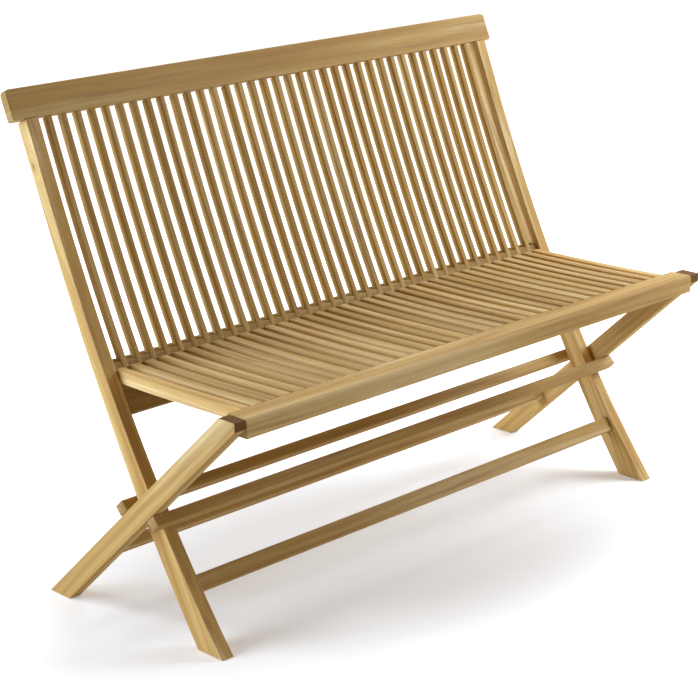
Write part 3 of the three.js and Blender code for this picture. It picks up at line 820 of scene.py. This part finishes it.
# %% Sloped ends, then the bend
def bent_slat(tree, slat, xyz, given):
    # A point moves along the slat by its depth times the slope there
    half = {0: given["Depth"], 1: 0.5, 2: xyz["Y"]}
    half = node(tree, "ShaderNodeMath", half, operation="MULTIPLY_ADD").outputs[0]
    share = {"Value": xyz["Z"], "From Min": given["Start"], "From Max": given["End"], "To Min": 0.0}
    share = node(tree, "ShaderNodeMapRange", share).outputs[0]
    slope = {0: share, 2: given["Start Slope"], 3: given["End Slope"]}
    slope = node(tree, "ShaderNodeMix", slope, data_type="FLOAT").outputs[0]
    back = node(tree, "ShaderNodeMath", {0: half, 1: slope}, operation="MULTIPLY").outputs[0]
    along = node(tree, "ShaderNodeMath", {0: xyz["Z"], 1: back}, operation="SUBTRACT").outputs[0]
    # Bend 0 + along * (Bend 1 + along * (Bend 2 + along * Bend 3))
    bend = given["Bend 3"]
    for factor in ("Bend 2", "Bend 1", "Bend 0"):
        bend = {0: bend, 1: along, 2: given[factor]}
        bend = node(tree, "ShaderNodeMath", bend, operation="MULTIPLY_ADD").outputs[0]
    across = node(tree, "ShaderNodeMath", {0: bend, 1: half}, operation="ADD").outputs[0]
    bent = node(tree, "ShaderNodeCombineXYZ", {"X": xyz["X"], "Y": across, "Z": along}).outputs[0]
    slat = node(tree, "GeometryNodeSetPosition", {"Geometry": slat, "Position": bent}).outputs[0]
    return node(tree, "GeometryNodeTransform", {"Geometry": slat, "Rotation": given["Turn"]}).outputs[0]


# %% The row, about the middle of the bench
def row_of_slats(tree, slat, given):
    last = node(tree, "ShaderNodeMath", {0: given["Count"], 1: 1.0}, operation="SUBTRACT").outputs[0]
    span = node(tree, "ShaderNodeMath", {0: last, 1: given["Pitch"]}, operation="MULTIPLY").outputs[0]
    first = node(tree, "ShaderNodeMath", {0: span, 1: -0.5}, operation="MULTIPLY").outputs[0]
    first = node(tree, "ShaderNodeCombineXYZ", {"X": first}).outputs[0]
    step = node(tree, "ShaderNodeCombineXYZ", {"X": given["Pitch"]}).outputs[0]
    row = {"Count": given["Count"], "Start Location": first, "Offset": step}
    row = node(tree, "GeometryNodeMeshLine", row, mode="OFFSET").outputs[0]
    return node(tree, "GeometryNodeInstanceOnPoints", {"Points": row, "Instance": slat}).outputs[0]


# %% A number and a tone of its own for each slat
TONE_SEED_SHIFT = 7.0
DARKEST_TONE, PALEST_TONE = 0.88, 1.1


def numbered(tree, slats, given):
    chance = node(tree, "FunctionNodeRandomValue", {"Seed": given["Seed"]}, data_type="FLOAT")
    seed = {0: given["Seed"], 1: TONE_SEED_SHIFT}
    seed = node(tree, "ShaderNodeMath", seed, operation="ADD").outputs[0]
    depth = {2: DARKEST_TONE, 3: PALEST_TONE, "Seed": seed}
    depth = node(tree, "FunctionNodeRandomValue", depth, data_type="FLOAT")
    for name, value in (("board", chance), ("tone", depth)):
        stored = {"Geometry": slats, "Name": name, "Value": value.outputs[1]}
        stored = node(
            tree, "GeometryNodeStoreNamedAttribute", stored, domain="INSTANCE", data_type="FLOAT"
        )
        slats = stored.outputs[0]
    return slats


# %% The slat row's tree
def slat_row_tree():
    tree = bpy.data.node_groups.new("slat_row", "GeometryNodeTree")
    for name, kind in SLAT_INPUTS.items():
        tree.interface.new_socket(name, in_out="INPUT", socket_type=kind)
    tree.interface.new_socket("Slats", in_out="OUTPUT", socket_type="NodeSocketGeometry")
    given = node(tree, "NodeGroupInput").outputs
    place = node(tree, "GeometryNodeInputPosition").outputs[0]
    xyz = node(tree, "ShaderNodeSeparateXYZ", {0: place}).outputs
    slat = marked_slat(tree, straight_slat(tree, given), xyz)
    slats = row_of_slats(tree, bent_slat(tree, slat, xyz, given), given)
    real = node(tree, "GeometryNodeRealizeInstances", {"Geometry": numbered(tree, slats, given)})
    coated = {"Geometry": real.outputs[0], "Material": given["Material"]}
    coated = node(tree, "GeometryNodeSetMaterial", coated).outputs[0]
    node(tree, "NodeGroupOutput", {"Slats": coated})
    return tree


SLAT_ROW = slat_row_tree()
print("slat row has", len(SLAT_ROW.nodes), "nodes")


# %% A row of slats as one plain mesh
def slat_row(name, **values):
    obj = bpy.data.objects.new(name, bpy.data.meshes.new(name))
    bpy.context.scene.collection.objects.link(obj)
    modifier = obj.modifiers.new("slats", "NODES")
    modifier.node_group = SLAT_ROW
    for item in SLAT_ROW.interface.items_tree:
        if item.in_out == "INPUT":
            modifier[item.identifier] = values[item.name.replace(" ", "_").lower()]
    settle(obj)
    print(name, len(obj.data.polygons), "faces")
    return obj


def named(text):
    return sorted(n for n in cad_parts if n.startswith(text))


# %% Back slats
BACK_SLAT_WIDTH = 11 * MM
bends = [factor / STILE_HEIGHT**i for i, factor in enumerate(STILE_RULE)]
slat_low = ledge[1] - (lip - LOWER_INSET) * math.sin(LOWER_LEAN) + GLUE_GAP
slat_high = at_top_rail((SLAT_SETBACK - TOP_SETBACK) * math.cos(TOP_LEAN), -GLUE_GAP)[1]
back_slats = slat_row(
    "teak_back_slats",
    count=35,
    pitch=SLAT_PITCH,
    width=BACK_SLAT_WIDTH,
    depth=SLAT_DEPTH,
    start=slat_low,
    end=slat_high,
    start_slope=0.0,
    end_slope=math.tan(TOP_LEAN),
    steps=36,
    edge_radius=0.6 * MM,
    bend_0=bends[0] + SLAT_SETBACK + FRONT,
    bend_1=bends[1],
    bend_2=bends[2],
    bend_3=bends[3],
    turn=(0.0, 0.0, 0.0),
    seed=11,
    material=SLAT_TEAK,
)
fit(back_slats, SLAT_TEAK, "slat_teak", "back_frame", *named("back_slats"))

# %% [markdown]
# The seat's slats come from the same tree, made standing and then laid on their backs. Their bend is
# the seat's gentle fall, and their rear ends are cut along the back.

# %% Seat slats
SEAT_SLAT_WIDTH = 19.6 * MM
knee = RAIL_WIDTH + FRONT
seat_bends = [
    SEAT_DROP - SEAT_HEIGHT + SEAT_FALL * (-2 * knee / SEAT_RUN - (knee / SEAT_RUN) ** 2),
    SEAT_FALL * (2 / SEAT_RUN + 2 * knee / SEAT_RUN**2),
    -SEAT_FALL / SEAT_RUN**2,
]
seat_slats = slat_row(
    "teak_seat_slats",
    count=34,
    pitch=SLAT_PITCH,
    width=SEAT_SLAT_WIDTH,
    depth=SEAT_SLAT_DEPTH,
    start=SEAT_FRONT + FRONT,
    end=SEAT_REAR + FRONT,
    start_slope=0.0,
    end_slope=REAR_SLOPE,
    steps=24,
    edge_radius=1.2 * MM,
    bend_0=seat_bends[0],
    bend_1=seat_bends[1],
    bend_2=seat_bends[2],
    bend_3=0.0,
    turn=(-math.pi / 2, 0.0, 0.0),
    seed=5,
    material=SEAT_TEAK,
)
fit(seat_slats, SEAT_TEAK, "seat_teak", "seat", *named("seat_slats"))

# %% [markdown]
# ## Camera
# The camera stands at the front left, higher than the back, with a long lens. It could be aimed at the
# bench by a constraint. Its place and turn are written out instead, because they were worked out from
# the bench's own edges in the photograph.

# %% Camera
azimuth, elevation, roll = math.radians(-44.915), math.radians(17.804), math.radians(-0.159)
flat_ahead = Vector((-math.sin(azimuth), math.cos(azimuth), 0)) * math.cos(elevation)
ahead = flat_ahead - Vector((0, 0, math.sin(elevation)))
level = ahead.cross(Vector((0, 0, 1))).normalized()
upward = level.cross(ahead)
right = level * math.cos(roll) + upward * math.sin(roll)
above = upward * math.cos(roll) - level * math.sin(roll)
lens = bpy.data.cameras.new("camera")
lens.lens = 104.23
lens.sensor_width = 36
camera = bpy.data.objects.new("camera", lens)
bpy.context.scene.collection.objects.link(camera)
place = Vector((-2.553, FRONT - 2.2068, 1.5029))
camera.matrix_world = Matrix.Translation(place) @ Matrix((right, above, -ahead)).transposed().to_4x4()
bpy.context.scene.camera = camera
print("camera at", [round(v, 3) for v in place])

# %% [markdown]
# ## Floor and light
# The bench stands on a white floor in a daylight studio, where the ground fades to white a short way
# from it. Broad lamps at the left and behind light the ends of the boards, one at the front right the
# near faces of the far half, and one overhead the seat. They are a little blue and the weak fill from
# the surround is amber, so that lit and shaded faces differ in hue, as they do in the photograph. More
# light would make the ground white too, but would bleach the wood. So Light Path shows the white only
# to the camera, in reflections and through glass, and it adds nothing to the wood but a faint sheen.


# %% What looks straight at the white
def seen_as_white(tree):
    """One for rays from the camera, from reflections and through glass, else nought."""
    rays = node(tree, "ShaderNodeLightPath").outputs
    seen = {0: rays["Is Camera Ray"], 1: rays["Is Glossy Ray"]}
    seen = node(tree, "ShaderNodeMath", seen, operation="MAXIMUM").outputs[0]
    seen = {0: seen, 1: rays["Is Transmission Ray"]}
    return node(tree, "ShaderNodeMath", seen, operation="MAXIMUM").outputs[0]


# %% Floor
WHITE = (1, 1, 1, 1)
# Less glow in an ellipse under the bench leaves the ground grey there: a painted shadow, joined by the
# lamps' real one.
FADE_CENTRE = (0.0, -0.05, 0.0)
FADE_SHAPE = (0.5, 1, 1)  # the shaded ground is twice as long as deep
FADE_START, FADE_END = 0.22, 0.75  # metres before or behind the centre
SHADED_LIFT = 0.17  # the glow under the bench, where 1 is white
FLOOR_HALF = 14.0


def white_floor():
    material, tree = bare_material("white_floor")
    matt = node(tree, "ShaderNodeBsdfDiffuse", {"Color": colour("#f5f3ec")}).outputs[0]
    place = node(tree, "ShaderNodeTexCoord").outputs["Object"]
    far = node(tree, "ShaderNodeVectorMath", {0: place, 1: FADE_CENTRE}, operation="SUBTRACT").outputs[0]
    far = node(tree, "ShaderNodeVectorMath", {0: far, 1: FADE_SHAPE}, operation="MULTIPLY").outputs[0]
    far = node(tree, "ShaderNodeVectorMath", {0: far}, operation="LENGTH").outputs["Value"]
    # The weaker glow near the bench paints a soft shadow there.
    fade = {"Value": far, "From Min": FADE_START, "From Max": FADE_END, "To Min": SHADED_LIFT}
    fade = node(tree, "ShaderNodeMapRange", fade, interpolation_type="SMOOTHSTEP").outputs[0]
    lift = node(tree, "ShaderNodeMath", {0: seen_as_white(tree), 1: fade}, operation="MULTIPLY").outputs[0]
    glow = node(tree, "ShaderNodeEmission", {"Color": WHITE, "Strength": lift}).outputs[0]
    both = node(tree, "ShaderNodeAddShader", {0: matt, 1: glow}).outputs[0]
    node(tree, "ShaderNodeOutputMaterial", {"Surface": both})
    return material


ground = bpy.data.meshes.new("floor")
corners = [(x * FLOOR_HALF, y * FLOOR_HALF, 0) for x, y in ((-1, -1), (1, -1), (1, 1), (-1, 1))]
ground.from_pydata(corners, [], [(0, 1, 2, 3)])
floor = bpy.data.objects.new("floor", ground)
bpy.context.scene.collection.objects.link(floor)
ground.materials.append(white_floor())
print("floor", [round(v, 1) for v in floor.dimensions])


# %% Lamps
def lamp(name, place, target, width, power, tint):
    light = bpy.data.lights.new(name, "AREA")
    light.shape = "SQUARE"
    light.size = width
    light.energy = power
    light.color = colour(tint)[:3]
    obj = bpy.data.objects.new(name, light)
    obj.location = place
    obj.rotation_euler = (Vector(target) - Vector(place)).to_track_quat("-Z", "Y").to_euler()
    bpy.context.scene.collection.objects.link(obj)


lamp("left_lamp", place=(-3.0, 1.2, 1.0), target=(0, 0, 0.4), width=1.6, power=86, tint="#cee1ff")
lamp("right_lamp", place=(2.1, -0.8, 1.45), target=(0.5, 0, 0.5), width=1.2, power=65, tint="#e0ecff")
lamp("back_lamp", place=(-2.2, 1.6, 2.4), target=(0, 0, 0.3), width=1.2, power=38, tint="#e8f2ff")
lamp("overhead_lamp", place=(1.8, 0.7, 2.7), target=(0.5, 0, 0.4), width=1.6, power=38, tint="#e6f0ff")

# %% Surround
world = bpy.data.worlds.new("studio")
bpy.context.scene.world = world
world.use_nodes = True
tree = world.node_tree
tree.nodes.clear()
fill = node(tree, "ShaderNodeBackground", {"Color": colour("#ffcd7e"), "Strength": 0.14}).outputs[0]
white = node(tree, "ShaderNodeBackground", {"Color": WHITE, "Strength": 1.0}).outputs[0]
both = node(tree, "ShaderNodeMixShader", {0: seen_as_white(tree), 1: fill, 2: white}).outputs[0]
node(tree, "ShaderNodeOutputWorld", {"Surface": both})
bpy.context.scene.view_settings.view_transform = "Standard"
print("surround nodes:", len(tree.nodes))
